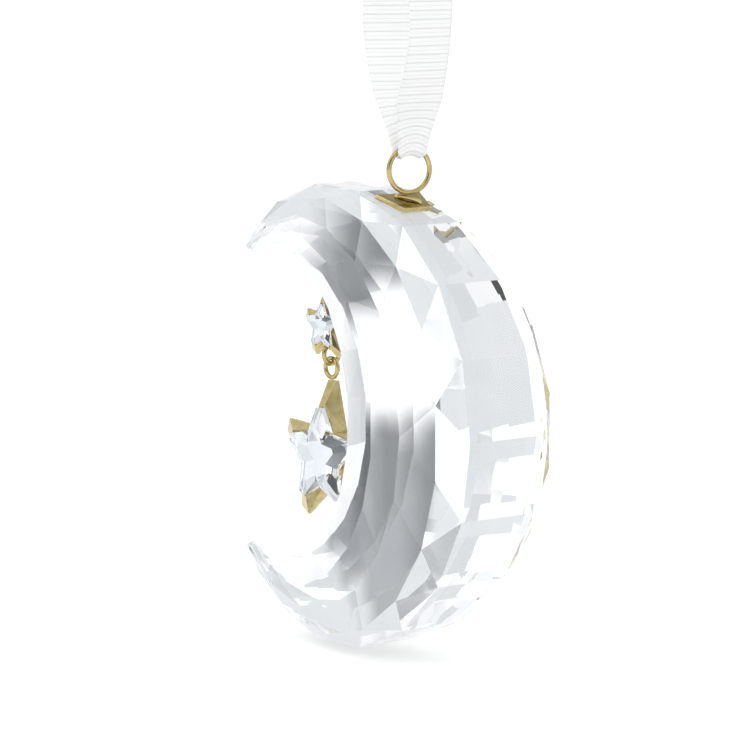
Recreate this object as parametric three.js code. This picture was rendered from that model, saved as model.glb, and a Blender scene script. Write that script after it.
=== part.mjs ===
// Crescent moon ornament: a faceted crystal crescent on a grosgrain ribbon, with a fixed small star
// and a large star that dangles from it. Millimetres, +Z up. The crescent lies in the XZ plane and
// opens towards -X. The origin is inside the top of the ribbon loop, where a hook carries it.
import * as THREE from 'three';
import { mergeVertices } from 'three/addons/utils/BufferGeometryUtils.js';

// Crystal crescent: an outer circle with flat rim facets and an inner circle with flat bay facets.
const rimRadius = 31.3;
const rimFacets = 14;
const rimHalfAngle = 137;
const rimHalfWidth = 6.2;
const ridgeRadius = 29.0;
const ridgeHalfWidth = 9.8;
const outerCheekHalfWidth = 9.7;
const outerCheekShare = 0.65;
const innerCheekHalfWidth = 8.6;
const innerCheekShare = 0.33;
const bayRadius = 22.8;
const bayCentre = -15.9;
const bayFacets = 13;
const bayHalfWidth = 6.7;
const taperHalfAngle = 150;
const tipThickness = 1.6;

// Gold plate, glued to a rim facet (plateFacet counts from the lower horn), and the ring soldered on it.
const plateFacet = 3.5;
const plateSlide = -0.39;
const plateDepth = 4.6;
const plateUpperWidth = 7.6;
const plateLowerWidth = 4.8;
const plateThickness = 0.6;
const plateEdge = 0.15;
const glueThickness = 0.15;
const glueMargin = 0.4;
const glueGap = 0.01;
const footReach = 1.6;
const footHeight = 0.25;
const footWire = 0.3;
const footTurn = 48;
const ringRadius = 2.95;
const ringWire = 0.36;
const ringTurn = 76;
const seatGap = 0.1;

// Stars: a gold setting rises from its rim to a star-shaped stone on a sheet of silver foil.
const starX = -6.1;
const smallStarHeight = 11.3;
const smallStar = {
  radius: 4.7, notch: 0.44, tipHalfWidth: 0.6, rim: 0.5, back: 0.5, lift: 0.8, wall: 0.2, pocket: 0.35,
  girdle: 0.35, crown: 0.35,
};
const largeStar = {
  radius: 10.3, notch: 0.44, tipHalfWidth: 0.9, rim: 0.5, back: 2.6, lift: 1.75, wall: 0.3, pocket: 0.6,
  girdle: 0.7, crown: 0.6,
};
const stoneShare = 0.65;
const stoneNotch = 0.6;
const stoneClearance = 0.12;
const stoneTable = 0.6;
const stoneBevel = 0.3;
const foilThickness = 0.1;
const backShare = 0.08;
const largeStarBalance = -0.1;
const padRadius = 1.1;
const padThickness = 0.5;
const postFacet = 3;
const postReach = 2.9;
const postRadius = 0.62;
const postGroove = 0.1;
const postRibs = 5;

// Dangle: an eye under the small star, a link ring and an eye on the large star.
const eyeWire = 0.22;
const smallEyeRadius = 0.68;
const smallEyeDrop = 0.52;
const linkRadius = 1.3;
const linkWire = 0.34;
const largeEyeRadius = 1.3;
const largeEyeWire = 0.34;
const linkPlay = 0.06;

// Ribbon loop through the ring, and the knot that closes it.
const ribbonWidth = 7;
const ribbonThickness = 0.4;
const ribbonPlay = 0.35;
const gatherAngle = 44;
const gatherHeight = 8;
const legTwist = 15;
const hookHeight = 27;
const ribbonRoute = [
  [0, 0], [3.6, 1.0], [8, 2.9], [12.5, 4.7], [16.5, 5.5], [20.5, 5.3], [24, 4.0], [27, 1.9], [29.5, 0.4],
];
const knotGap = 0.3;
const knot = [
  [0, 4.4, 2.2], [1.2, 5.6, 3.8], [3.2, 5.6, 3.8], [4.4, 4.4, 2.0], [6.5, 5.8, 1.6], [11, 6.4, 1.2],
];

const gold = new THREE.MeshStandardMaterial({ color: 0xc9ae6a, roughness: 0.22, metalness: 1 });
const crystal = new THREE.MeshStandardMaterial({ color: 0xf2f4f6, roughness: 0.02, metalness: 0 });
const glue = new THREE.MeshStandardMaterial({ color: 0xe8e6dc, roughness: 0.4, metalness: 0 });
const silver = new THREE.MeshStandardMaterial({ color: 0xe6e8ea, roughness: 0.15, metalness: 1 });
const grosgrain = new THREE.MeshStandardMaterial({ color: 0xfafafa, roughness: 0.85, metalness: 0 });

const rad = THREE.MathUtils.degToRad;
const up = new THREE.Vector3(0, 0, 1);

function polar(radius, degrees) {
  return new THREE.Vector3(radius * Math.cos(rad(degrees)), 0, radius * Math.sin(rad(degrees)));
}

function closedGeometry(points, faces) {
  const geometry = new THREE.BufferGeometry().setFromPoints(points);
  geometry.setIndex(faces.flat());
  return mergeVertices(geometry, 1e-5);
}

// A closed skin through rings of points of equal count, with a fan over the first and the last ring.
function loft(rings) {
  const points = [];
  const faces = [];
  const count = rings[0].length;
  rings.forEach((ring) => points.push(...ring));
  for (let row = 0; row + 1 < rings.length; row++) {
    for (let i = 0; i < count; i++) {
      const a = row * count + i;
      const b = row * count + ((i + 1) % count);
      faces.push([a, b, b + count], [a, b + count, a + count]);
    }
  }
  const middle = (ring) => ring.reduce((sum, p) => sum.add(p), new THREE.Vector3()).divideScalar(count);
  const last = (rings.length - 1) * count;
  points.push(middle(rings[0]), middle(rings[rings.length - 1]));
  for (let i = 0; i < count; i++) {
    const next = (i + 1) % count;
    faces.push([rings.length * count, next, i], [rings.length * count + 1, last + i, last + next]);
  }
  return closedGeometry(points, faces);
}

// How the crescent thins from its middle (0) to its horns, by angle round the outer circle.
function taper(degrees) {
  return Math.cos(rad((degrees * 90) / taperHalfAngle));
}

// Outer and inner places along the crescent: share runs from 0 at the upper horn to 1 at the lower.
function rimAngle(share) {
  return rimHalfAngle * (1 - 2 * share);
}

const hornDirection = polar(1, rimHalfAngle);
const hornInner = hornDirection.clone().multiplyScalar(rimRadius - tipThickness);
const bayHalfAngle = THREE.MathUtils.radToDeg(Math.atan2(hornInner.z, hornInner.x - bayCentre));

function bayPlace(share) {
  const hornReach = Math.hypot(hornInner.x - bayCentre, hornInner.z);
  const nearHorn = Math.abs(1 - 2 * share) ** 4;
  const reach = THREE.MathUtils.lerp(bayRadius, hornReach, nearHorn);
  return polar(reach, bayHalfAngle * (1 - 2 * share)).add(new THREE.Vector3(bayCentre, 0, 0));
}

// One facet line of the crystal, from horn to horn: its shares and its points.
function facetLine(shares, place, halfWidth, side) {
  return shares.map((share) => {
    const point = place(share);
    point.y = side * halfWidth * taper(rimAngle(share));
    return { share, point };
  });
}

function evenShares(facets) {
  return Array.from({ length: facets + 1 }, (_, i) => i / facets);
}

function betweenShares(facets) {
  return [0, ...Array.from({ length: facets }, (_, i) => (i + 0.5) / facets), 1];
}

const rimPlace = (share) => polar(rimRadius, rimAngle(share));
const ridgePlace = (share) => {
  const depth = THREE.MathUtils.lerp(ridgeRadius, rimRadius - tipThickness * 0.3, Math.abs(1 - 2 * share) ** 3);
  return polar(depth, rimAngle(share));
};
const cheekPlace = (depth) => (share) => bayPlace(share).lerp(ridgePlace(share), depth);

// The crystal's skin: strips of flat facets between neighbouring facet lines, and a cap on each horn.
function moonGeometry() {
  const even = evenShares(rimFacets);
  const between = betweenShares(rimFacets);
  const bay = evenShares(bayFacets);
  const lines = [
    facetLine(even, rimPlace, rimHalfWidth, -1),
    facetLine(between, ridgePlace, ridgeHalfWidth, -1),
    facetLine(even, cheekPlace(outerCheekShare), outerCheekHalfWidth, -1),
    facetLine(between, cheekPlace(innerCheekShare), innerCheekHalfWidth, -1),
    facetLine(bay, bayPlace, bayHalfWidth, -1),
    facetLine(bay, bayPlace, bayHalfWidth, 1),
    facetLine(between, cheekPlace(innerCheekShare), innerCheekHalfWidth, 1),
    facetLine(even, cheekPlace(outerCheekShare), outerCheekHalfWidth, 1),
    facetLine(between, ridgePlace, ridgeHalfWidth, 1),
    facetLine(even, rimPlace, rimHalfWidth, 1),
  ];
  const starts = [];
  const points = [];
  for (const line of lines) {
    starts.push(points.length);
    points.push(...line.map((entry) => entry.point));
  }
  const faces = [];
  lines.forEach((line, k) => {
    const next = (k + 1) % lines.length;
    const other = lines[next];
    let i = 0;
    let j = 0;
    while (i + 1 < line.length || j + 1 < other.length) {
      const a = starts[k] + i;
      const b = starts[next] + j;
      const stepLine = j + 1 >= other.length
        || (i + 1 < line.length && line[i + 1].share <= other[j + 1].share);
      if (stepLine) {
        faces.push([a, b, a + 1]);
        i++;
      } else {
        faces.push([a, b, b + 1]);
        j++;
      }
    }
  });
  const upper = starts;
  const lower = starts.map((start, k) => start + lines[k].length - 1);
  for (let k = 1; k + 1 < lines.length; k++) {
    faces.push([upper[0], upper[k + 1], upper[k]], [lower[0], lower[k], lower[k + 1]]);
  }
  return closedGeometry(points, faces);
}

// A star outline in the XZ plane: two corners at each blunt arm end and one notch between arms.
function starOutline(radius, notch, tipHalfWidth, y) {
  const outline = [];
  for (let arm = 0; arm < 5; arm++) {
    const degrees = 90 + arm * 72;
    const tip = polar(radius, degrees);
    const across = polar(tipHalfWidth, degrees + 90);
    outline.push(tip.clone().sub(across), tip.clone().add(across), polar(notch, degrees + 36));
  }
  outline.forEach((point) => (point.y = y));
  return outline;
}

function scaledStar(star, share, y) {
  return starOutline(star.radius * share, star.radius * star.notch * share, star.tipHalfWidth * share, y);
}

// The stone's own outline, with shallower notches than the setting's.
function stoneOutline(star, share, y) {
  return starOutline(star.radius * share, star.radius * stoneNotch * share, star.tipHalfWidth * share, y);
}

// A setting: a back that is flat or a low pyramid, a plain rim, sloping flanks in front that rise by
// the lift, and a pocket at their top for the foil and the stone.
function settingGeometry(star) {
  const pocketShare = stoneShare + stoneClearance / star.radius;
  const crestShare = pocketShare + star.wall / star.radius;
  return loft([
    scaledStar(star, backShare, star.back),
    scaledStar(star, 1, star.rim),
    scaledStar(star, 1, 0),
    stoneOutline(star, crestShare, -star.lift),
    stoneOutline(star, pocketShare, -star.lift),
    stoneOutline(star, pocketShare, star.pocket - star.lift),
  ]);
}

const foilBack = (star) => star.pocket - star.lift - glueGap;

// A sheet of foil on the pocket's floor, which mirrors light back through the stone.
function foilGeometry(star) {
  return loft([
    stoneOutline(star, stoneShare, foilBack(star)),
    stoneOutline(star, stoneShare, foilBack(star) - foilThickness),
  ]);
}

// A stone: a bevelled back on the foil, a straight girdle, and a crown of facets up to a star table.
function stoneGeometry(star) {
  const seat = foilBack(star) - foilThickness - glueGap;
  const girdleTop = -star.lift - star.girdle;
  return loft([
    stoneOutline(star, stoneShare - stoneBevel / star.radius, seat),
    stoneOutline(star, stoneShare, seat - stoneBevel),
    stoneOutline(star, stoneShare, girdleTop),
    stoneOutline(star, stoneShare * stoneTable, girdleTop - star.crown),
  ]);
}

function named(name, geometry, material) {
  const mesh = new THREE.Mesh(geometry, material);
  mesh.name = name;
  return mesh;
}

function wireRing(radius, wire, around) {
  return mergedTorus(new THREE.TorusGeometry(radius, wire, 10, around));
}

function mergedTorus(geometry) {
  geometry.deleteAttribute('normal');
  geometry.deleteAttribute('uv');
  return mergeVertices(geometry, 1e-5);
}

const ornament = new THREE.Group();

// Places along the crescent's own frame, whose origin is the centre of the outer circle.
const plateAngle = (plateFacet * 2 * rimHalfAngle) / rimFacets;
const rimNormal = polar(1, plateAngle);
const rimTangent = polar(1, plateAngle - 90);
const rimApothem = rimRadius * Math.cos(rad(rimHalfAngle / rimFacets));
const plateBase = rimNormal.clone().multiplyScalar(rimApothem).addScaledVector(rimTangent, plateSlide);
const plateTop = plateBase.clone().addScaledVector(rimNormal, glueThickness + plateThickness);
const footTop = plateTop.clone().addScaledVector(rimNormal, seatGap + footHeight + footWire);
const ringCentre = footTop.clone().addScaledVector(up, seatGap + ringWire + ringRadius);
const hingeHeight = ringCentre.z + ringRadius;

const moon = new THREE.Group();
moon.position.set(-ringCentre.x, 0, -hookHeight - hingeHeight);
ornament.add(moon);

moon.add(named('moon_crystal', moonGeometry(), crystal));

// Plate and glue lie flat on their rim facet.
const plateGroup = new THREE.Group();
plateGroup.position.copy(plateBase);
plateGroup.rotation.y = rad(90 - plateAngle);
moon.add(plateGroup);

function bevelledPlate(thickness, edge, margin) {
  const outline = (inset, z) => {
    const reach = plateDepth / 2 - margin - inset;
    const [upper, lower] = [plateUpperWidth / 2 - margin - inset, plateLowerWidth / 2 - margin - inset];
    return [[-reach, -upper], [reach, -lower], [reach, lower], [-reach, upper]].map(
      ([x, y]) => new THREE.Vector3(x, y, z),
    );
  };
  return loft([outline(0, 0), outline(0, thickness - edge), outline(edge, thickness)]);
}

const plateGlue = named('plate_adhesive', bevelledPlate(glueThickness - 2 * glueGap, 0.02, glueMargin), glue);
plateGlue.position.z = glueGap;
plateGroup.add(plateGlue);
const plate = named('top_plate', bevelledPlate(plateThickness, plateEdge, 0), gold);
plate.position.z = glueThickness;
plateGroup.add(plate);

function tube(rows) {
  return loft(rows.map(([radius, z]) => Array.from({ length: 16 }, (_, i) => {
    const turn = (2 * Math.PI * i) / 16;
    return new THREE.Vector3(radius * Math.cos(turn), radius * Math.sin(turn), z);
  })));
}

// The foot: a low wire arch with both ends on the plate, which carries the ring on its crown.
function archGeometry() {
  const steps = 16;
  const rings = Array.from({ length: steps + 1 }, (_, k) => {
    const turn = (Math.PI * k) / steps;
    const centre = new THREE.Vector3(footReach * Math.cos(turn), 0, footHeight * Math.sin(turn));
    const along = new THREE.Vector3(-footReach * Math.sin(turn), 0, footHeight * Math.cos(turn)).normalize();
    const across = new THREE.Vector3(0, 1, 0);
    const out = new THREE.Vector3().crossVectors(across, along);
    return Array.from({ length: 10 }, (_unused, i) => {
      const round = (2 * Math.PI * i) / 10;
      return centre.clone().addScaledVector(across, footWire * Math.cos(round))
        .addScaledVector(out, -footWire * Math.sin(round));
    });
  });
  return loft(rings);
}

const foot = named('ring_foot', archGeometry(), gold);
foot.position.z = glueThickness + plateThickness + seatGap;
foot.rotation.z = rad(footTurn);
plateGroup.add(foot);

const ring = named('hanging_ring', wireRing(ringRadius, ringWire, 40), gold);
ring.position.copy(ringCentre);
ring.rotation.set(rad(90), 0, rad(ringTurn), 'ZXY');
moon.add(ring);

// Small star, held off a bay facet by a ribbed post.
const facetStart = bayPlace(postFacet / bayFacets);
const facetEnd = bayPlace((postFacet + 1) / bayFacets);
const facetAlong = facetEnd.clone().sub(facetStart).normalize();
const facetNormal = new THREE.Vector3(facetAlong.z, 0, -facetAlong.x);
const smallCentre = new THREE.Vector3(starX, 0, smallStarHeight);
const facetDistance = smallCentre.clone().sub(facetStart).dot(facetNormal);
const postLength = facetDistance - glueThickness - postReach;

const postGroup = new THREE.Group();
postGroup.position.copy(smallCentre).addScaledVector(facetNormal, -facetDistance);
postGroup.position.y = smallStar.rim;
postGroup.quaternion.setFromUnitVectors(up, facetNormal);
moon.add(postGroup);
const glueRadius = padRadius - 0.1;
const postGlue = named('post_adhesive', tube([[glueRadius, 0], [glueRadius, glueThickness - 2 * glueGap]]), glue);
postGlue.position.z = glueGap;
postGroup.add(postGlue);
const ribPitch = (postLength - padThickness) / postRibs;
const postRows = [[padRadius, 0], [padRadius, padThickness]];
for (let i = 0; i < postRibs; i++) {
  const z = padThickness + i * ribPitch;
  postRows.push([postRadius, z + 0.02], [postRadius, z + 0.7 * ribPitch]);
  postRows.push([postRadius - postGroove, z + 0.78 * ribPitch], [postRadius - postGroove, z + 0.95 * ribPitch]);
}
const post = named('small_star_post', tube(postRows), gold);
post.position.z = glueThickness;
postGroup.add(post);

const small = new THREE.Group();
small.position.copy(smallCentre);
moon.add(small);
small.add(named('small_star_setting', settingGeometry(smallStar), gold));
small.add(named('small_star_foil', foilGeometry(smallStar), silver));
small.add(named('small_star_stone', stoneGeometry(smallStar), crystal));

// The dangle: an eye soldered on the small star's back at its lower notch, and all that hangs on it.
const notchHeight = smallCentre.z - smallStar.radius * smallStar.notch;
const dangleY = smallStar.rim + seatGap + eyeWire;
const smallEyeHeight = notchHeight - smallEyeDrop;
const linkPivotHeight = smallEyeHeight - smallEyeRadius;
const linkHeight = linkPivotHeight + eyeWire + linkWire + linkPlay - linkRadius;
const starPivotHeight = linkHeight - linkRadius;
const largeEyeHeight = starPivotHeight + linkWire + largeEyeWire + linkPlay - largeEyeRadius;
const largeEyeBottom = largeEyeHeight - largeEyeRadius - largeEyeWire;
const largeCentre = new THREE.Vector3(
  starX, dangleY - largeStarBalance, largeEyeBottom - seatGap - largeStar.radius,
);

function hungRing(name, radius, wire, height, facing) {
  const eye = named(name, wireRing(radius, wire, 28), gold);
  eye.position.set(starX, dangleY, height);
  if (facing === 'front') eye.rotation.x = rad(90);
  else eye.rotation.y = rad(90);
  return eye;
}

moon.add(hungRing('small_star_eye', smallEyeRadius, eyeWire, smallEyeHeight, 'front'));
moon.add(hungRing('link_ring', linkRadius, linkWire, linkHeight, 'side'));
moon.add(hungRing('large_star_eye', largeEyeRadius, largeEyeWire, largeEyeHeight, 'front'));

const large = new THREE.Group();
large.position.copy(largeCentre);
moon.add(large);
large.add(named('large_star_setting', settingGeometry(largeStar), gold));
large.add(named('large_star_foil', foilGeometry(largeStar), silver));
large.add(named('large_star_stone', stoneGeometry(largeStar), crystal));

// The ribbon: a strip up from the ring on both sides of its wire, gathered where it passes the ring.
const acrossRing = new THREE.Vector3(Math.cos(rad(ringTurn)), Math.sin(rad(ringTurn)), 0);
const throughRing = new THREE.Vector3(Math.sin(rad(ringTurn)), -Math.cos(rad(ringTurn)), 0);
const ringTop = new THREE.Vector3(0, 0, -hookHeight);
const ribbonTop = ribbonRoute[ribbonRoute.length - 1][0];
const wrapRadius = ringWire + ribbonPlay + ribbonThickness / 2;
const route = new THREE.CatmullRomCurve3(
  ribbonRoute.map(([height, spread]) => new THREE.Vector3(spread + wrapRadius, 0, height)),
);

function ribbonPoint(across, height, drop, through, twist = 0) {
  return ringTop.clone().addScaledVector(acrossRing.clone().applyAxisAngle(up, twist), across)
    .addScaledVector(throughRing, through).addScaledVector(up, height - drop);
}

// A point of one leg: side is 1 on the near side of the ring, t runs up the leg, w across it.
function legPoint(side, t, w) {
  const at = route.getPoint(t);
  const open = THREE.MathUtils.smoothstep(at.z, 0, gatherHeight);
  const turn = rad(gatherAngle * w);
  const across = THREE.MathUtils.lerp(ringRadius * Math.sin(turn), (w * ribbonWidth) / 2, open);
  const drop = THREE.MathUtils.lerp(ringRadius * (1 - Math.cos(turn)), 0, open);
  const twist = side * rad(legTwist) * Math.sin((Math.PI * at.z) / ribbonTop) ** 2;
  return ribbonPoint(across, at.z, drop, side * at.x, twist);
}

// A point where the ribbon passes under the ring's wire: share runs from the near to the far side.
function wrapPoint(share, w) {
  const turn = rad(gatherAngle * w);
  const reach = ringRadius - wrapRadius * Math.sin(Math.PI * share);
  return ribbonPoint(
    reach * Math.sin(turn), 0, ringRadius - reach * Math.cos(turn), wrapRadius * Math.cos(Math.PI * share),
  );
}

const legSteps = 16;
const wrapSteps = 10;
const stations = [];
for (let i = legSteps; i > 0; i--) stations.push((w) => legPoint(1, i / legSteps, w));
for (let i = 0; i <= wrapSteps; i++) stations.push((w) => wrapPoint(i / wrapSteps, w));
for (let i = 1; i <= legSteps; i++) stations.push((w) => legPoint(-1, i / legSteps, w));

function ribbonGeometry() {
  const places = [-1, -0.5, 0, 0.5, 1];
  const rings = stations.map((station, i) => {
    const before = stations[Math.max(i - 1, 0)];
    const after = stations[Math.min(i + 1, stations.length - 1)];
    const face = (w, lift) => {
      const along = after(w).sub(before(w)).normalize();
      const wide = station(Math.min(w + 0.1, 1)).sub(station(Math.max(w - 0.1, -1))).normalize();
      const normal = new THREE.Vector3().crossVectors(wide, along).normalize();
      return station(w).addScaledVector(normal, (lift * ribbonThickness) / 2);
    };
    return [...places.map((w) => face(w, 1)), ...places.map((w) => face(-w, -1))];
  });
  return loft(rings);
}

ornament.add(named('hanging_ribbon', ribbonGeometry(), grosgrain));

function knotGeometry() {
  const corner = 0.35;
  return loft(knot.map(([height, wide, deep]) => {
    const outline = [
      [1, 1 - corner], [1 - corner, 1], [corner - 1, 1], [-1, 1 - corner],
      [-1, corner - 1], [corner - 1, -1], [1 - corner, -1], [1, corner - 1],
    ];
    return outline.map(([x, y]) => new THREE.Vector3((x * deep) / 2, (y * wide) / 2, height));
  }));
}

const knotMesh = named('ribbon_knot', knotGeometry(), grosgrain);
knotMesh.position.set(0, 0, ribbonTop - hookHeight + knotGap);
knotMesh.rotation.z = rad(ringTurn - 90);
ornament.add(knotMesh);

const spot = (x, y, z) => moon.position.clone().add(new THREE.Vector3(x, y, z)).toArray()
  .map((value) => Number(value.toFixed(3)));
console.log('moon hinge', [0, 0, -hookHeight], 'axis', acrossRing.toArray());
console.log('link hinge', spot(starX, dangleY, linkPivotHeight));
console.log('star hinge', spot(starX, dangleY, starPivotHeight));
console.log('moon centre', spot(0, 0, 0));

export default ornament;
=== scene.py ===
import math
import bmesh
import bpy
from mathutils import Matrix, Vector


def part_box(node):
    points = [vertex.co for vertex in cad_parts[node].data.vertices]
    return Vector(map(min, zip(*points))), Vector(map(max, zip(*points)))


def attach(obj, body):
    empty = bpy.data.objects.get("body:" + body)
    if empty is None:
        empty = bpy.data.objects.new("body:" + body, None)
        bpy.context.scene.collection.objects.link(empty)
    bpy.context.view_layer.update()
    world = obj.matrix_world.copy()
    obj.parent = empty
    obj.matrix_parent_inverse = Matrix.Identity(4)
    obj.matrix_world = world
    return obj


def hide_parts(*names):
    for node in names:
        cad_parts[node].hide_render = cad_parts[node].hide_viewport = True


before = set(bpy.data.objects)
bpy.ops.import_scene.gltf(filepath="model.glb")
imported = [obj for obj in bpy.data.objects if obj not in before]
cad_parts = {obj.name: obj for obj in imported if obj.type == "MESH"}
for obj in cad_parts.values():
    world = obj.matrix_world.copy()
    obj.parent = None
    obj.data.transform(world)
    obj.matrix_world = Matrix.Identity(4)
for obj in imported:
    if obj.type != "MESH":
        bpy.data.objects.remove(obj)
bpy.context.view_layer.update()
scene = bpy.context.scene
mm = 0.001
print("frame loaded, nodes:", len(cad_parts))


# shared helpers: colour, nodes, objects

def toLinear(hexColour):
    # sRGB hex to linear RGBA
    parts = [int(hexColour[i:i + 2], 16) / 255 for i in (1, 3, 5)]
    linear = [c / 12.92 if c <= 0.04045 else ((c + 0.055) / 1.055) ** 2.4 for c in parts]
    return (*linear, 1.0)


def addNode(tree, kind, settings=None, values=None, links=None):
    node = tree.nodes.new(kind)
    for key, value in (settings or {}).items():
        setattr(node, key, value)
    for key, value in (values or {}).items():
        node.inputs[key].default_value = value
    for key, source in (links or {}).items():
        fromNode, output = source
        tree.links.new(fromNode.outputs[output], node.inputs[key])
    return node


def newMaterial(name):
    material = bpy.data.materials.new(name)
    material.use_nodes = True
    material.node_tree.nodes.clear()
    return material, material.node_tree


def addRamp(tree, factor, colours, stops):
    # two colours that run into each other between two stops
    ramp = addNode(tree, "ShaderNodeValToRGB", links={0: factor})
    for element, colour, stop in zip(ramp.color_ramp.elements, colours, stops):
        element.color = toLinear(colour)
        element.position = stop
    return ramp


def addSwells(tree, s, strength):
    # noise in the piece's own space, and the bump that it raises
    place = addNode(tree, "ShaderNodeTexCoord")
    noise = addNode(tree, "ShaderNodeTexNoise", values={
        "Scale": 1 / (s["swell"] * mm), "Detail": s["detail"],
    }, links={0: (place, "Object")})
    bump = addNode(tree, "ShaderNodeBump", values={
        "Strength": strength, "Distance": s["relief"] * mm,
    }, links={"Height": (noise, 0)})
    return noise, bump


def addSeenRays(tree):
    # 1 for a ray from the camera, and for one that a surface has mirrored or let through
    paths = addNode(tree, "ShaderNodeLightPath")
    direct = addNode(tree, "ShaderNodeMath", {"operation": "MAXIMUM"}, links={
        0: (paths, "Is Camera Ray"), 1: (paths, "Is Glossy Ray"),
    })
    return addNode(tree, "ShaderNodeMath", {"operation": "MAXIMUM"}, links={
        0: (direct, 0), 1: (paths, "Is Transmission Ray"),
    })


def finishMesh(name, bm, material, body):
    mesh = bpy.data.meshes.new(name)
    bm.to_mesh(mesh)
    bm.free()
    for polygon in mesh.polygons:
        polygon.use_smooth = True
    piece = bpy.data.objects.new(name, mesh)
    scene.collection.objects.link(piece)
    piece.data.materials.append(material)
    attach(piece, body)
    return piece


def addFace(bm, uvLayer, corners):
    # corners are pairs of a vertex and its place on the band
    face = bm.faces.new([vert for vert, _uv in corners])
    for loop, (_vert, uv) in zip(face.loops, corners):
        loop[uvLayer].uv = uv


def skinRows(bm, uvLayer, rows):
    # a closed skin over rows of corners, each row a loop round the band
    for a, b in zip(rows, rows[1:]):
        for j in range(len(a)):
            k = (j + 1) % len(a)
            addFace(bm, uvLayer, [a[j], a[k], b[k], b[j]])
    for row in (rows[0], rows[-1]):
        addFace(bm, uvLayer, row)


def directionOf(s):
    az, el = math.radians(s["azimuth"]), math.radians(s["elevation"])
    return Vector((math.sin(az) * math.cos(el), -math.cos(az) * math.cos(el), math.sin(el)))


def pictureAxes(s):
    # towards the camera, and the picture's right and up
    az = math.radians(s["azimuth"])
    back = directionOf(s)
    right = Vector((math.cos(az), math.sin(az), 0))
    return back, right, back.cross(right)


# camera: the photograph's angle, framed so that the crescent's centre falls where it does there

cameraSet = {
    "azimuth": 51.0,
    "elevation": 7.5,
    "distance": 0.520,
    "pixel": 0.135 * mm,  # real size of one image pixel at the crescent
    "pixels": 750,
    "subject": Vector((-11.455, 0, -63.504)) * mm,  # centre of the crescent's outer circle
    "subjectPixel": (355, 413),
    "sensor": 36.0,  # mm
    "clip": (0.01, 10),
}


def makeCamera(s):
    back, right, upward = pictureAxes(s)
    middle = s["pixels"] / 2
    aim = s["subject"] + right * (middle - s["subjectPixel"][0]) * s["pixel"]
    aim -= upward * (middle - s["subjectPixel"][1]) * s["pixel"]
    data = bpy.data.cameras.new("photoCamera")
    data.sensor_width = s["sensor"]
    data.lens = s["sensor"] * s["distance"] / (s["pixel"] * s["pixels"])
    data.clip_start, data.clip_end = s["clip"]
    camera = bpy.data.objects.new("photoCamera", data)
    camera.location = aim + back * s["distance"]
    camera.rotation_mode = "QUATERNION"
    camera.rotation_quaternion = (-back).to_track_quat("-Z", "Y")
    scene.collection.objects.link(camera)
    scene.camera = camera


makeCamera(cameraSet)
print("camera set")


# materials

# Cotton and polyester grosgrain: ribs across the band, matt, with a slight thread sheen and painted shade in
# the grooves.
grosgrain = {
    "rib": 0.575,  # mm between ribs
    "thread": 0.16,  # mm between warp threads
    "fuzz": 3.5,  # fibre noise, swells in a mm
    "crest": "#FDFDFD",
    # painted shade: the grooves are coloured greyer than the crests
    "groove": "#E4E6E8",
    "stops": (0.1, 0.62),  # lift where the painted groove shade and the crest colour start
    "fullness": 0.45,  # under 1 makes the crests broad and the grooves narrow
    "threadShare": 0.12,
    "fuzzShare": 0.25,
    "bump": 0.45,
    "relief": 0.06,  # mm
    "roughness": 0.82,
    "specular": 0.3,
    "sheen": 0.25,
    "sheenRoughness": 0.4,
}


def makeGrosgrain(s):
    material, tree = newMaterial("grosgrainWovenWhite")
    uv = addNode(tree, "ShaderNodeUVMap", {"uv_map": "bandUv"})
    axes = addNode(tree, "ShaderNodeSeparateXYZ", links={0: (uv, 0)})
    # v runs along the band in millimetres: one wave to a rib, and a deeper groove at every other
    turn = addNode(tree, "ShaderNodeMath", {"operation": "MULTIPLY"}, {1: math.pi / s["rib"]}, {0: (axes, 1)})
    wave = addNode(tree, "ShaderNodeMath", {"operation": "SINE"}, links={0: (turn, 0)})
    crest = addNode(tree, "ShaderNodeMath", {"operation": "ABSOLUTE"}, links={0: (wave, 0)})
    half = addNode(tree, "ShaderNodeMath", {"operation": "MULTIPLY"}, {1: 0.5}, {0: (turn, 0)})
    pairWave = addNode(tree, "ShaderNodeMath", {"operation": "SINE"}, links={0: (half, 0)})
    pair = addNode(tree, "ShaderNodeMath", {"operation": "ABSOLUTE"}, links={0: (pairWave, 0)})
    depth = addNode(tree, "ShaderNodeMath", {"operation": "MULTIPLY"}, links={0: (crest, 0), 1: (pair, 0)})
    lift = addNode(tree, "ShaderNodeMath", {"operation": "POWER"}, {1: s["fullness"]}, {0: (depth, 0)})
    threadTurn = 2 * math.pi / s["thread"]
    warp = addNode(tree, "ShaderNodeMath", {"operation": "MULTIPLY"}, {1: threadTurn}, {0: (axes, 0)})
    threads = addNode(tree, "ShaderNodeMath", {"operation": "SINE"}, links={0: (warp, 0)})
    fuzz = addNode(tree, "ShaderNodeTexNoise", values={
        "Scale": s["fuzz"], "Detail": 6.0, "Roughness": 0.6,
    }, links={0: (uv, 0)})
    # painted shade: the colour darkens with the groove's depth
    colour = addRamp(tree, (lift, 0), (s["groove"], s["crest"]), s["stops"])
    weave = addNode(tree, "ShaderNodeMath", {"operation": "MULTIPLY_ADD"}, {1: s["threadShare"]}, {
        0: (threads, 0), 2: (lift, 0),
    })
    height = addNode(tree, "ShaderNodeMath", {"operation": "MULTIPLY_ADD"}, {1: s["fuzzShare"]}, {
        0: (fuzz, 0), 2: (weave, 0),
    })
    bump = addNode(tree, "ShaderNodeBump", values={
        "Strength": s["bump"], "Distance": s["relief"] * mm,
    }, links={"Height": (height, 0)})
    shader = addNode(tree, "ShaderNodeBsdfPrincipled", values={
        "Roughness": s["roughness"], "Sheen Weight": s["sheen"], "Sheen Roughness": s["sheenRoughness"],
        "Specular IOR Level": s["specular"],
    }, links={"Base Color": (colour, 0), "Normal": (bump, 0)})
    addNode(tree, "ShaderNodeOutputMaterial", links={0: (shader, 0)})
    return material


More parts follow.
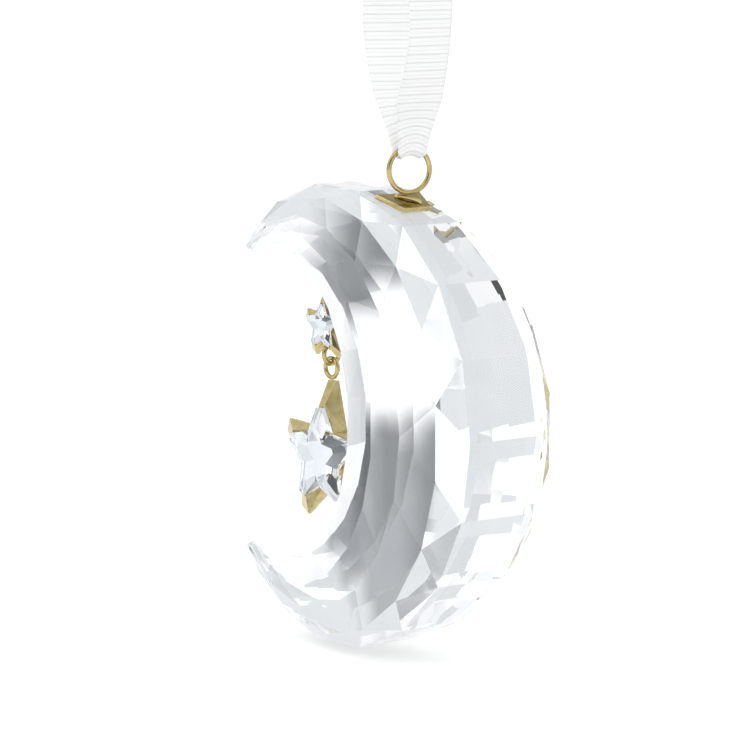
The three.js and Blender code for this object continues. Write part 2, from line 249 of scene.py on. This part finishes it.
# Pale gold plating over polished brass: bright, with fine buffing marks and slightly duller in patches.
goldPlate = {
    "base": "#C4B482",
    "worn": "#AC9C68",
    "stops": (0.25, 0.6),
    "patches": 900.0,  # worn patches in a metre
    "buffing": (4000.0, 4000.0, 500.0),  # buffing marks in a metre, long ones upwards
    "bump": 0.12,
    "relief": 0.02,  # mm
    "roughness": (0.09, 0.23),  # from the brightest to the dullest patch
}


def makeGold(s):
    material, tree = newMaterial("goldPlatedBrassPolished")
    place = addNode(tree, "ShaderNodeTexCoord")
    cloud = addNode(tree, "ShaderNodeTexNoise", values={
        "Scale": s["patches"], "Detail": 3.0,
    }, links={0: (place, "Object")})
    stretch = addNode(tree, "ShaderNodeMapping", values={"Scale": s["buffing"]}, links={0: (place, "Object")})
    buffing = addNode(tree, "ShaderNodeTexNoise", values={
        "Scale": 1.0, "Detail": 2.0,
    }, links={0: (stretch, 0)})
    colour = addRamp(tree, (cloud, 0), (s["worn"], s["base"]), s["stops"])
    rough = addNode(tree, "ShaderNodeMapRange", values={
        "To Min": s["roughness"][0], "To Max": s["roughness"][1],
    }, links={0: (cloud, 0)})
    bump = addNode(tree, "ShaderNodeBump", values={
        "Strength": s["bump"], "Distance": s["relief"] * mm,
    }, links={"Height": (buffing, 0)})
    shader = addNode(tree, "ShaderNodeBsdfPrincipled", values={"Metallic": 1.0}, links={
        "Base Color": (colour, 0), "Roughness": (rough, 0), "Normal": (bump, 0),
    })
    addNode(tree, "ShaderNodeOutputMaterial", links={0: (shader, 0)})
    return material


# Cut crystal glass: clear, high index, polished facets with a trace of waviness.
cutCrystal = {
    "clear": "#FDFEFE",
    "tint": "#F2F5F8",
    "stops": (0.3, 0.7),
    "ior": 1.55,
    "swell": 7.0,  # mm between swells
    "detail": 2.0,
    "relief": 0.2,  # mm
    "turns": 5.5,  # a ray with more bounces than this ends in a painted glow of light grey
    "inner": "#DCDFE1",
}


def makeCrystal(s, name, waviness):
    material, tree = newMaterial(name)
    swell, bump = addSwells(tree, s, waviness)
    colour = addRamp(tree, (swell, 0), (s["tint"], s["clear"]), s["stops"])
    shader = addNode(tree, "ShaderNodeBsdfPrincipled", values={
        "Roughness": 0.0, "IOR": s["ior"], "Transmission Weight": 1.0,
    }, links={"Base Color": (colour, 0), "Normal": (bump, 0)})
    # painted glow: a ray that bounces more than the limit ends in light-grey light, standing in for the light
    # it would carry out
    paths = addNode(tree, "ShaderNodeLightPath")
    lost = addNode(tree, "ShaderNodeMath", {"operation": "GREATER_THAN"}, {1: s["turns"]}, {
        0: (paths, "Ray Depth"),
    })
    glow = addNode(tree, "ShaderNodeEmission", values={"Color": toLinear(s["inner"]), "Strength": 1.0})
    mix = addNode(tree, "ShaderNodeMixShader", links={0: (lost, 0), 1: (shader, 0), 2: (glow, 0)})
    addNode(tree, "ShaderNodeOutputMaterial", links={0: (mix, 0)})
    return material


# Silver foil behind the stones: a bright mirror, faintly rippled where it is pressed down.
silverFoil = {
    "base": "#EEF0F2",
    "roughness": 0.12,
    "swell": 10 / 7,  # mm between ripples
    "detail": 2.0,
    "relief": 0.03,  # mm
    "bump": 0.1,
}


def makeFoil(s):
    material, tree = newMaterial("silverFoilPressed")
    _ripple, bump = addSwells(tree, s, s["bump"])
    shader = addNode(tree, "ShaderNodeBsdfPrincipled", values={
        "Base Color": toLinear(s["base"]), "Metallic": 1.0, "Roughness": s["roughness"],
    }, links={"Normal": (bump, 0)})
    addNode(tree, "ShaderNodeOutputMaterial", links={0: (shader, 0)})
    return material


# Cured clear adhesive: a thin glossy film with small voids.
gluePlastic = {
    "base": "#E4E2D8",
    "roughness": 0.3,
    "swell": 0.4,  # mm between voids
    "detail": 2.0,
    "relief": 0.03,  # mm
    "bump": 0.2,
}


def makeGlue(s):
    material, tree = newMaterial("epoxyAdhesiveCured")
    _voids, bump = addSwells(tree, s, s["bump"])
    shader = addNode(tree, "ShaderNodeBsdfPrincipled", values={
        "Base Color": toLinear(s["base"]), "Roughness": s["roughness"], "IOR": 1.5,
        "Transmission Weight": 0.5,
    }, links={"Normal": (bump, 0)})
    addNode(tree, "ShaderNodeOutputMaterial", links={0: (shader, 0)})
    return material


grosgrainMaterial = makeGrosgrain(grosgrain)
goldMaterial = makeGold(goldPlate)
moonCrystalMaterial = makeCrystal(cutCrystal, "cutCrystalMoon", waviness=0.05)
stoneCrystalMaterial = makeCrystal(cutCrystal, "cutCrystalStone", waviness=0.02)
foilMaterial = makeFoil(silverFoil)
glueMaterial = makeGlue(gluePlastic)
print("materials made")


# ribbon: one band that runs down the near side, under the ring's wire and up the far side

hangingRing = {"node": "hanging_ring", "body": "moon", "radius": 2.95, "wire": 0.36, "turn": 76}
ribbon = {
    "width": 7.0,  # mm, as all lengths here
    "thickness": 0.36,
    "ringTop": -27.0,  # height of the ring's top wire below the hook
    "ringRadius": hangingRing["radius"],
    "wrapRadius": 0.91,  # ring wire, play and half the band
    "gather": 44,  # degrees of ring wire that the band covers each side
    "gatherHeight": 8.0,
    "twist": 15,  # degrees that each leg turns at half height
    # height above the ring and distance from its middle plane
    "route": [
        (0, 0), (3.6, 1.0), (8, 2.9), (12.5, 4.7), (16.5, 5.5),
        (20.5, 5.3), (24, 4.0), (27, 1.9), (29.5, 0.4),
    ],
    "legSteps": 200,
    "wrapSteps": 40,
    "step": 0.115,  # mm between cross rows, five to a rib
    "rib": grosgrain["rib"],
    "ribFullness": 0.7,  # under 1 makes the ribs rounder on top
    "ribLift": 0.05,  # mm
    "pairShare": 0.4,  # how much lower every other groove makes the relief
    "scallop": 0.045,  # mm that a groove draws the edge in
    "columns": 14,
    "edge": 0.55,  # share of the thickness left at the woven edges
    "slopeReach": 0.05,  # share of the half width over which the band's slope is taken
    "pathStep": 6,  # cross rows to a point of the cord's path
}
ribbonTop = ribbon["route"][-1][0]
ringTurn = math.radians(hangingRing["turn"])
acrossRing = Vector((math.cos(ringTurn), math.sin(ringTurn), 0))
throughRing = Vector((math.sin(ringTurn), -math.cos(ringTurn), 0))
upAxis = Vector((0, 0, 1))


def routeAt(t):
    # smooth curve through the route's points, t from 0 to 1
    points = ribbon["route"]
    place = t * (len(points) - 1)
    i = min(int(place), len(points) - 2)
    f = place - i
    p = [Vector(points[min(max(k, 0), len(points) - 1)]) for k in (i - 1, i, i + 1, i + 2)]
    return 0.5 * (2 * p[1] + (p[2] - p[0]) * f + (2 * p[0] - 5 * p[1] + 4 * p[2] - p[3]) * f ** 2
                  + (3 * p[1] - p[0] - 3 * p[2] + p[3]) * f ** 3)


def smoothStep(x):
    x = min(max(x, 0), 1)
    return x * x * (3 - 2 * x)


def bandPoint(across, height, drop, through, twist=0.0):
    wide = Matrix.Rotation(twist, 3, "Z") @ acrossRing
    point = wide * across + throughRing * through + upAxis * (ribbon["ringTop"] + height - drop)
    return point * mm


def legPoint(side, t, w):
    height, spread = routeAt(t)
    opening = smoothStep(height / ribbon["gatherHeight"])
    turn = math.radians(ribbon["gather"]) * w
    flat = w * ribbon["width"] / 2
    across = ribbon["ringRadius"] * math.sin(turn) * (1 - opening) + flat * opening
    drop = ribbon["ringRadius"] * (1 - math.cos(turn)) * (1 - opening)
    twist = side * math.radians(ribbon["twist"]) * math.sin(math.pi * height / ribbonTop) ** 2
    return bandPoint(across, height, drop, side * (spread + ribbon["wrapRadius"]), twist)


def wrapPoint(share, w):
    turn = math.radians(ribbon["gather"]) * w
    reach = ribbon["ringRadius"] - ribbon["wrapRadius"] * math.sin(math.pi * share)
    drop = ribbon["ringRadius"] - reach * math.cos(turn)
    return bandPoint(reach * math.sin(turn), 0, drop, ribbon["wrapRadius"] * math.cos(math.pi * share))


def bandStations():
    # places along the band, each a function of w, spaced evenly by length
    legSteps, wrapSteps = ribbon["legSteps"], ribbon["wrapSteps"]
    raw = [lambda w, t=t / legSteps: legPoint(1, 1 - t, w) for t in range(legSteps)]
    raw += [lambda w, t=t / wrapSteps: wrapPoint(t, w) for t in range(wrapSteps + 1)]
    raw += [lambda w, t=t / legSteps: legPoint(-1, t, w) for t in range(1, legSteps + 1)]
    lengths = [0.0]
    for a, b in zip(raw, raw[1:]):
        lengths.append(lengths[-1] + (b(0) - a(0)).length)
    count = round(lengths[-1] / (ribbon["step"] * mm))
    stations = []
    k = 0
    for i in range(count + 1):
        want = lengths[-1] * i / count
        while k < len(raw) - 2 and lengths[k + 1] < want:
            k += 1
        f = (want - lengths[k]) / (lengths[k + 1] - lengths[k])
        stations.append((want / mm, lambda w, k=k, f=f: raw[k](w).lerp(raw[k + 1](w), f)))
    return stations


def ribWaveAt(along):
    # 0 in a groove and 1 on a rib
    return abs(math.sin(math.pi * along / ribbon["rib"])) ** ribbon["ribFullness"]


def makeRibbon():
    stations = bandStations()
    columns = ribbon["columns"]
    places = [-1 + 2 * c / columns for c in range(columns + 1)]
    reach = ribbon["slopeReach"]
    bm = bmesh.new()
    uvLayer = bm.loops.layers.uv.new("bandUv")
    rows = []
    for i, (along, station) in enumerate(stations):
        before = stations[max(i - 1, 0)][1]
        after = stations[min(i + 1, len(stations) - 1)][1]
        ribWave = ribWaveAt(along)
        pairWave = abs(math.sin(math.pi * along / ribbon["rib"] / 2))
        pairShare = 1 - ribbon["pairShare"] + ribbon["pairShare"] * pairWave
        lift = (ribbon["thickness"] / 2 - ribbon["ribLift"] + ribbon["ribLift"] * ribWave * pairShare) * mm
        row = []
        for face in (1, -1):
            for place in places if face == 1 else reversed(places):
                w = place * (1 - ribbon["scallop"] * (1 - ribWave) * 2 / ribbon["width"])
                wide = (station(min(w + reach, 1)) - station(max(w - reach, -1))).normalized()
                tangent = (after(w) - before(w)).normalized()
                normal = wide.cross(tangent).normalized()
                thin = ribbon["edge"] if abs(place) == 1 else 1
                vert = bm.verts.new(station(w) + normal * face * lift * thin)
                row.append((vert, (w * ribbon["width"] / 2, along)))
        rows.append(row)
    skinRows(bm, uvLayer, rows)
    bmesh.ops.recalc_face_normals(bm, faces=bm.faces[:])
    band = finishMesh("ribbonBand", bm, grosgrainMaterial, "ribbon")
    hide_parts("hanging_ribbon")
    cordPath = [station(0) for _along, station in stations[::ribbon["pathStep"]]] + [stations[-1][1](0)]
    return band, cordPath, stations[-1][0]


ribbonBand, ribbonPath, ribbonLength = makeRibbon()

knot = {
    "base": 2.8,  # mm above the hook
    "height": 4.4,
    "wide": 5.6,
    "deep": 3.8,
    "segments": (64, 40),
    "girth": 0.86,  # share of the half width under the wraps
    "wraps": [(0.07, 2, 5.0), (0.04, 5, -3.0)],  # height of each ridge, how often around, and its slope
    "corner": 3,  # over 2 makes the section squarer
    "fullness": 0.96,  # share of the full width
    "blunt": 0.85,  # under 1 makes the ends blunter
    "grainSlope": 0.4,  # how much the ribs slant across the wraps
}
tails = {
    "length": 6.3,
    "width": 6.2,
    "rootWidth": 4.8,  # where they leave the knot
    "opening": 4.0,  # mm up to the full width
    "thickness": 0.42,
    "root": 0.5,  # mm that they start inside the knot
    "columns": 10,
    "edge": 0.5,  # share of the thickness left at the edges
    "lean": (0.24, 0.34),  # mm off the middle at the root, and how much more at the end
    "slant": 0.12,  # how much longer one edge is than the middle
    "curl": 0.25,  # mm that the middle bulges at the root
    "curlTurn": 1.6,  # radians of the bulge's wave from the middle to an edge
}


def addKnotBody(bm, s):
    # a rounded knot with wrap ridges and pinched ends
    around, high = s["segments"]
    bmesh.ops.create_uvsphere(bm, u_segments=around, v_segments=high, radius=1.0)
    for vert in bm.verts:
        turn = math.atan2(vert.co.y, vert.co.x)
        ridge = sum(lift * math.cos(count * turn + slope * vert.co.z) for lift, count, slope in s["wraps"])
        corner = abs(math.cos(turn)) ** s["corner"] + abs(math.sin(turn)) ** s["corner"]
        square = 1 / corner ** (1 / s["corner"])
        flat = (s["girth"] + ridge) * square * s["fullness"]
        vert.co.x *= flat
        vert.co.y *= flat
        vert.co.z = math.copysign(abs(vert.co.z) ** s["blunt"], vert.co.z)
    bmesh.ops.scale(bm, vec=(s["deep"] / 2, s["wide"] / 2, s["height"] / 2), verts=bm.verts[:])
    bmesh.ops.translate(bm, vec=(0, 0, s["base"] + s["height"] / 2), verts=bm.verts[:])


def addTail(bm, uvLayer, s, side):
    # one flat tail that opens out above the knot and ends on a slant
    rootHeight = knot["base"] + knot["height"] - s["root"]
    halfRoot = s["rootWidth"] / 2
    steps = round(s["length"] / ribbon["step"])
    rows = []
    for i in range(steps + 1):
        along = s["length"] * i / steps
        groove = 1 - ribWaveAt(along)
        opening = smoothStep(along / s["opening"])
        wide = halfRoot + (s["width"] / 2 - halfRoot) * opening - ribbon["scallop"] * groove
        lean = side * (s["lean"][0] + s["lean"][1] * smoothStep(along / s["length"]))
        row = []
        for face in (1, -1):
            for c in range(s["columns"] + 1):
                w = (-1 + 2 * c / s["columns"]) * face
                lift = face * (s["thickness"] / 2 - ribbon["ribLift"] * groove)
                lift *= s["edge"] if c in (0, s["columns"]) else 1
                curl = s["curl"] * math.cos(w * s["curlTurn"]) * side * (1 - along / s["length"])
                z = rootHeight + along + s["slant"] * w * along * side
                row.append((bm.verts.new((lean + curl + lift, w * wide, z)), (w * wide, along)))
        rows.append(row)
    skinRows(bm, uvLayer, rows)


def makeKnot(s):
    bm = bmesh.new()
    addKnotBody(bm, s)
    uvLayer = bm.loops.layers.uv.new("bandUv")
    for face in bm.faces:
        for loop in face.loops:
            loop[uvLayer].uv = (loop.vert.co.y, loop.vert.co.z + s["grainSlope"] * loop.vert.co.x)
    for side in (1, -1):
        addTail(bm, uvLayer, tails, side)
    bmesh.ops.recalc_face_normals(bm, faces=bm.faces[:])
    turn = Matrix.Rotation(ringTurn - math.pi / 2, 3, "Z")
    bmesh.ops.rotate(bm, cent=(0, 0, 0), matrix=turn, verts=bm.verts[:])
    bmesh.ops.scale(bm, vec=(mm, mm, mm), verts=bm.verts[:])
    piece = finishMesh("ribbonKnot", bm, grosgrainMaterial, "ribbon")
    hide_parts("ribbon_knot")
    return piece


ribbonKnot = makeKnot(knot)
print("ribbon made, mm long:", round(ribbonLength, 1))


# rings and eyes: round wire, bent and closed

rings = {
    "hangingRing": hangingRing,
    "smallStarEye": {"node": "small_star_eye", "body": "moon", "radius": 0.68, "wire": 0.22, "turn": 0},
    "linkRing": {"node": "link_ring", "body": "link", "radius": 1.3, "wire": 0.34, "turn": 90},
    "largeStarEye": {"node": "large_star_eye", "body": "large_star", "radius": 1.3, "wire": 0.34, "turn": 0},
}
wireSegments = 20
ringSegments = 72
weld = 1e-5  # mm within which the ring's first and last section merge


def makeRing(name, s):
    low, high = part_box(s["node"])
    middle = (Vector(low) + Vector(high)) / 2 / mm
    bm = bmesh.new()
    bmesh.ops.create_circle(bm, segments=wireSegments, radius=s["wire"])
    # the wire's section stands at the ring's radius, then turns about Y into a ring in the XZ plane
    bmesh.ops.translate(bm, vec=(s["radius"], 0, 0), verts=bm.verts[:])
    bmesh.ops.spin(bm, geom=bm.verts[:] + bm.edges[:], cent=(0, 0, 0), axis=(0, 1, 0), angle=2 * math.pi,
                   steps=ringSegments, use_merge=True, use_duplicate=False)
    bmesh.ops.remove_doubles(bm, verts=bm.verts[:], dist=weld)
    bmesh.ops.recalc_face_normals(bm, faces=bm.faces[:])
    turn = Matrix.Rotation(math.radians(s["turn"]), 3, "Z")
    bmesh.ops.rotate(bm, cent=(0, 0, 0), matrix=turn, verts=bm.verts[:])
    bmesh.ops.translate(bm, vec=middle, verts=bm.verts[:])
    bmesh.ops.scale(bm, vec=(mm, mm, mm), verts=bm.verts[:])
    piece = finishMesh(name, bm, goldMaterial, s["body"])
    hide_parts(s["node"])


for ringName, ringSet in rings.items():
    makeRing(ringName, ringSet)
print("rings made")


# carried-over pieces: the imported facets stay, with their own finishes

finishes = {
    "moon_crystal": moonCrystalMaterial,
    "small_star_stone": stoneCrystalMaterial,
    "large_star_stone": stoneCrystalMaterial,
    "small_star_foil": foilMaterial,
    "large_star_foil": foilMaterial,
    "plate_adhesive": glueMaterial,
    "post_adhesive": glueMaterial,
    "top_plate": goldMaterial,
    "ring_foot": goldMaterial,
    "small_star_post": goldMaterial,
    "small_star_setting": goldMaterial,
    "large_star_setting": goldMaterial,
}
for nodeName, material in finishes.items():
    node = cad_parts[nodeName]
    node.data.materials.clear()
    node.data.materials.append(material)
print("finishes set")


# floor, light and world

stage = {
    "floor": -0.0958,  # just under the crescent
    "size": 3.0,  # half the sheet's width
    "floorColour": "#FFFFFF",
    "glow": 0.25,  # added where the floor is seen, so that it is as white as the world
    "skyLight": 0.95,
}


def makeFloor(s):
    bm = bmesh.new()
    bmesh.ops.create_grid(bm, x_segments=1, y_segments=1, size=s["size"])
    bmesh.ops.translate(bm, vec=(0, 0, s["floor"]), verts=bm.verts[:])
    mesh = bpy.data.meshes.new("floorSheet")
    bm.to_mesh(mesh)
    bm.free()
    floor = bpy.data.objects.new("floorSheet", mesh)
    scene.collection.objects.link(floor)
    material, tree = newMaterial("paperBackdropWhite")
    seen = addSeenRays(tree)
    colour = toLinear(s["floorColour"])
    diffuse = addNode(tree, "ShaderNodeBsdfDiffuse", values={"Color": colour, "Roughness": 1.0})
    glowShader = addNode(tree, "ShaderNodeEmission", values={"Color": colour, "Strength": s["glow"]})
    both = addNode(tree, "ShaderNodeAddShader", links={0: (diffuse, 0), 1: (glowShader, 0)})
    mix = addNode(tree, "ShaderNodeMixShader", links={0: (seen, 0), 1: (diffuse, 0), 2: (both, 0)})
    addNode(tree, "ShaderNodeOutputMaterial", links={0: (mix, 0)})
    mesh.materials.append(material)


def makeWorld(s):
    world = bpy.data.worlds.new("studioWhite")
    scene.world = world
    world.use_nodes = True
    tree = world.node_tree
    tree.nodes.clear()
    seen = addSeenRays(tree)
    lit = addNode(tree, "ShaderNodeBackground", values={"Color": (1, 1, 1, 1), "Strength": s["skyLight"]})
    shown = addNode(tree, "ShaderNodeBackground", values={"Color": (1, 1, 1, 1), "Strength": 1.0})
    mix = addNode(tree, "ShaderNodeMixShader", links={0: (seen, 0), 1: (lit, 0), 2: (shown, 0)})
    addNode(tree, "ShaderNodeOutputWorld", links={0: (mix, 0)})


lamps = {
    "keySoftbox": {"azimuth": 10, "elevation": 50, "distance": 0.6, "size": 0.4, "power": 0.35},
    "rimSoftbox": {"azimuth": 230, "elevation": 35, "distance": 0.6, "size": 0.3, "power": 0.2},
}
# Glowing grey cards that the camera, diffuse rays and shadows never meet: painted reflections in the glass,
# standing in for studio cards so that its facets read against white. The near ones stand behind the crystal:
# across and height are millimetres in the picture, from the crescent's centre.
nearCards = {
    "cardUpper": {"across": (8, 44), "height": (13, 33), "depth": 36, "shade": "#74787C", "soft": 0.3},
    "cardLowerDark": {"across": (20, 52), "height": (-29, 3), "depth": 36, "shade": "#6E7276", "soft": 0.2},
    "cardLowerPale": {"across": (14, 28), "height": (-30, 1), "depth": 38, "shade": "#A8ABAF", "soft": 0.25},
    "cardRim": {"across": (-12, 19), "height": (-32, 32), "depth": 40, "shade": "#E4E7E9", "soft": 0.06},
}
farCards = {
    "cardLeft": {
        "azimuth": -98, "elevation": 2, "distance": 0.4, "wide": 0.16, "tall": 0.2,
        "shade": "#9DA0A4", "soft": 0.25,
    },
    "cardSide": {
        "azimuth": 132, "elevation": 0, "distance": 0.065, "wide": 0.12, "tall": 0.06,
        "shade": "#EAECEE", "soft": 0.1,
    },
    "cardRight": {
        "azimuth": 118, "elevation": 22, "distance": 0.4, "wide": 0.16, "tall": 0.13,
        "shade": "#1E2021", "soft": 0.2,
    },
    "cardOver": {
        "azimuth": 51, "elevation": 70, "distance": 0.4, "wide": 0.3, "tall": 0.1,
        "shade": "#7C7F82", "soft": 0.3,
    },
    "cardBack": {
        "azimuth": -143, "elevation": 40, "distance": 0.4, "wide": 0.2, "tall": 0.18,
        "shade": "#B4AEA6", "soft": 0.35,
    },
}
# Thin glowing dark strips: painted reflections that draw dark lines in the glass.
darkStrip = {"distance": 0.4, "wide": 0.016, "tall": 0.3, "shade": "#26282A", "soft": 0.1}
farCards |= {
    "stripRight": darkStrip | {"azimuth": 97, "elevation": -2},
    "stripLeft": darkStrip | {"azimuth": -62, "elevation": -2},
    "stripBehind": darkStrip | {"azimuth": -162, "elevation": 0},
    "stripFront": darkStrip | {"azimuth": 40, "elevation": 20, "wide": 0.006},
    "stripEdge": {
        "azimuth": -66, "elevation": -12, "distance": 0.06, "wide": 0.02, "tall": 0.05,
        "shade": "#2A2C2E", "soft": 0.2,
    },
}
# A glowing black card that only mirroring rays meet: a painted reflection, so that the metal's turned faces
# go dark.
metalCards = {
    "cardCamera": {
        "azimuth": 40, "elevation": 26, "distance": 0.5, "wide": 0.44, "tall": 0.32,
        "shade": "#1A1B1C", "soft": 0.15,
    },
}


def makeLamps():
    for name, s in lamps.items():
        data = bpy.data.lights.new(name, "AREA")
        data.size = s["size"]
        data.energy = s["power"]
        lamp = bpy.data.objects.new(name, data)
        out = directionOf(s)
        lamp.location = cameraSet["subject"] + out * s["distance"]
        lamp.rotation_mode = "QUATERNION"
        lamp.rotation_quaternion = (-out).to_track_quat("-Z", "Y")
        scene.collection.objects.link(lamp)


def makeReflectionCard(name, shade, soft):
    # a glowing sheet of one grey, seen only as a painted reflection, that fades out at its edges
    material, tree = newMaterial(name)
    uv = addNode(tree, "ShaderNodeUVMap", {"uv_map": "cardUv"})
    axes = addNode(tree, "ShaderNodeSeparateXYZ", links={0: (uv, 0)})
    edges = []
    for axis in (0, 1):
        shifted = addNode(tree, "ShaderNodeMath", {"operation": "SUBTRACT"}, {1: 0.5}, {0: (axes, axis)})
        away = addNode(tree, "ShaderNodeMath", {"operation": "ABSOLUTE"}, links={0: (shifted, 0)})
        edges.append(addNode(tree, "ShaderNodeMapRange", {"interpolation_type": "SMOOTHSTEP"}, {
            "From Min": 0.5, "From Max": 0.5 - soft, "To Min": 0.0, "To Max": 1.0,
        }, {0: (away, 0)}))
    cover = addNode(tree, "ShaderNodeMath", {"operation": "MULTIPLY"}, links={
        0: (edges[0], 0), 1: (edges[1], 0),
    })
    clear = addNode(tree, "ShaderNodeBsdfTransparent")
    # the card glows its grey rather than being lit
    paper = addNode(tree, "ShaderNodeEmission", values={"Color": toLinear(shade), "Strength": 1.0})
    mix = addNode(tree, "ShaderNodeMixShader", links={0: (cover, 0), 1: (clear, 0), 2: (paper, 0)})
    addNode(tree, "ShaderNodeOutputMaterial", links={0: (mix, 0)})
    return material


def makeCard(name, wide, tall, out, place, s):
    bm = bmesh.new()
    bmesh.ops.create_grid(bm, x_segments=1, y_segments=1, size=0.5)
    uvLayer = bm.loops.layers.uv.new("cardUv")
    for face in bm.faces:
        for loop in face.loops:
            loop[uvLayer].uv = (loop.vert.co.x + 0.5, loop.vert.co.y + 0.5)
    bmesh.ops.scale(bm, vec=(wide, tall, 1), verts=bm.verts[:])
    turn = (-out).to_track_quat("-Z", "Y").to_matrix()
    bmesh.ops.rotate(bm, cent=(0, 0, 0), matrix=turn, verts=bm.verts[:])
    bmesh.ops.translate(bm, vec=place, verts=bm.verts[:])
    mesh = bpy.data.meshes.new(name)
    bm.to_mesh(mesh)
    bm.free()
    mesh.materials.append(makeReflectionCard(name + "ReflectionGlow", s["shade"], s["soft"]))
    card = bpy.data.objects.new(name, mesh)
    scene.collection.objects.link(card)
    # the card is unseen by the camera and casts no shadow: it shows only as a painted reflection
    card.visible_camera = False
    card.visible_diffuse = False
    card.visible_shadow = False
    return card


def makeCards():
    back, right, upward = pictureAxes(cameraSet)
    for name, s in nearCards.items():
        middle = [sum(s[axis]) / 2 * mm for axis in ("across", "height")]
        size = [(s[axis][1] - s[axis][0]) * mm for axis in ("across", "height")]
        place = cameraSet["subject"] + right * middle[0] + upward * middle[1]
        place -= back * s["depth"] * mm
        card = makeCard(name, size[0], size[1], -back, place, s)
        card.visible_glossy = False
    for name, s in (farCards | metalCards).items():
        out = directionOf(s)
        card = makeCard(name, s["wide"], s["tall"], out, cameraSet["subject"] + out * s["distance"], s)
        card.visible_transmission = name in farCards


makeFloor(stage)
makeWorld(stage)
makeLamps()
makeCards()
scene.view_settings.view_transform = "Standard"
print("stage set")
